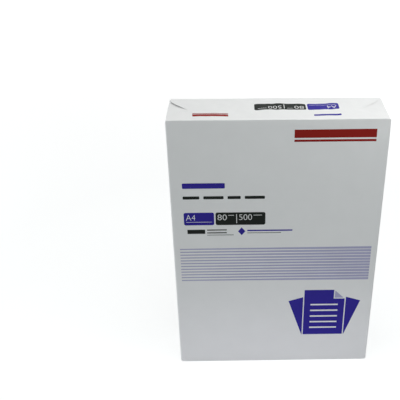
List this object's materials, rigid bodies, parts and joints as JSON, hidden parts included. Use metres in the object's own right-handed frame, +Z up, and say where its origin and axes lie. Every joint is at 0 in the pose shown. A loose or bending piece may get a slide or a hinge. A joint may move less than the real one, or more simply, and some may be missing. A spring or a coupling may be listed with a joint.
{
  "type": "ream of paper",
  "caption": "Sealed ream of A4 office paper in a folded coated wrapper with printed front and tucked ends, standing on its short end.",
  "frame": {"origin": "middle of the lower end, on the surface that the ream stands on", "axes": "+Z up along the sheets' long side, -Y out of the printed front face, +X to the right as the front is read"},
  "size_m": [0.212, 0.0549, 0.2993],
  "materials": {
    "wrapper": "satin",
    "violet_ink": "satin",
    "charcoal_ink": "satin",
    "lilac_ink": "satin",
    "red_ink": "satin"
  },
  "bodies": {
    "root": {"wrapped_ream": "wrapper", "violet_print": "violet_ink", "charcoal_print": "charcoal_ink", "lilac_print": "lilac_ink", "red_print": "red_ink"}
  },
  "joints": []
}
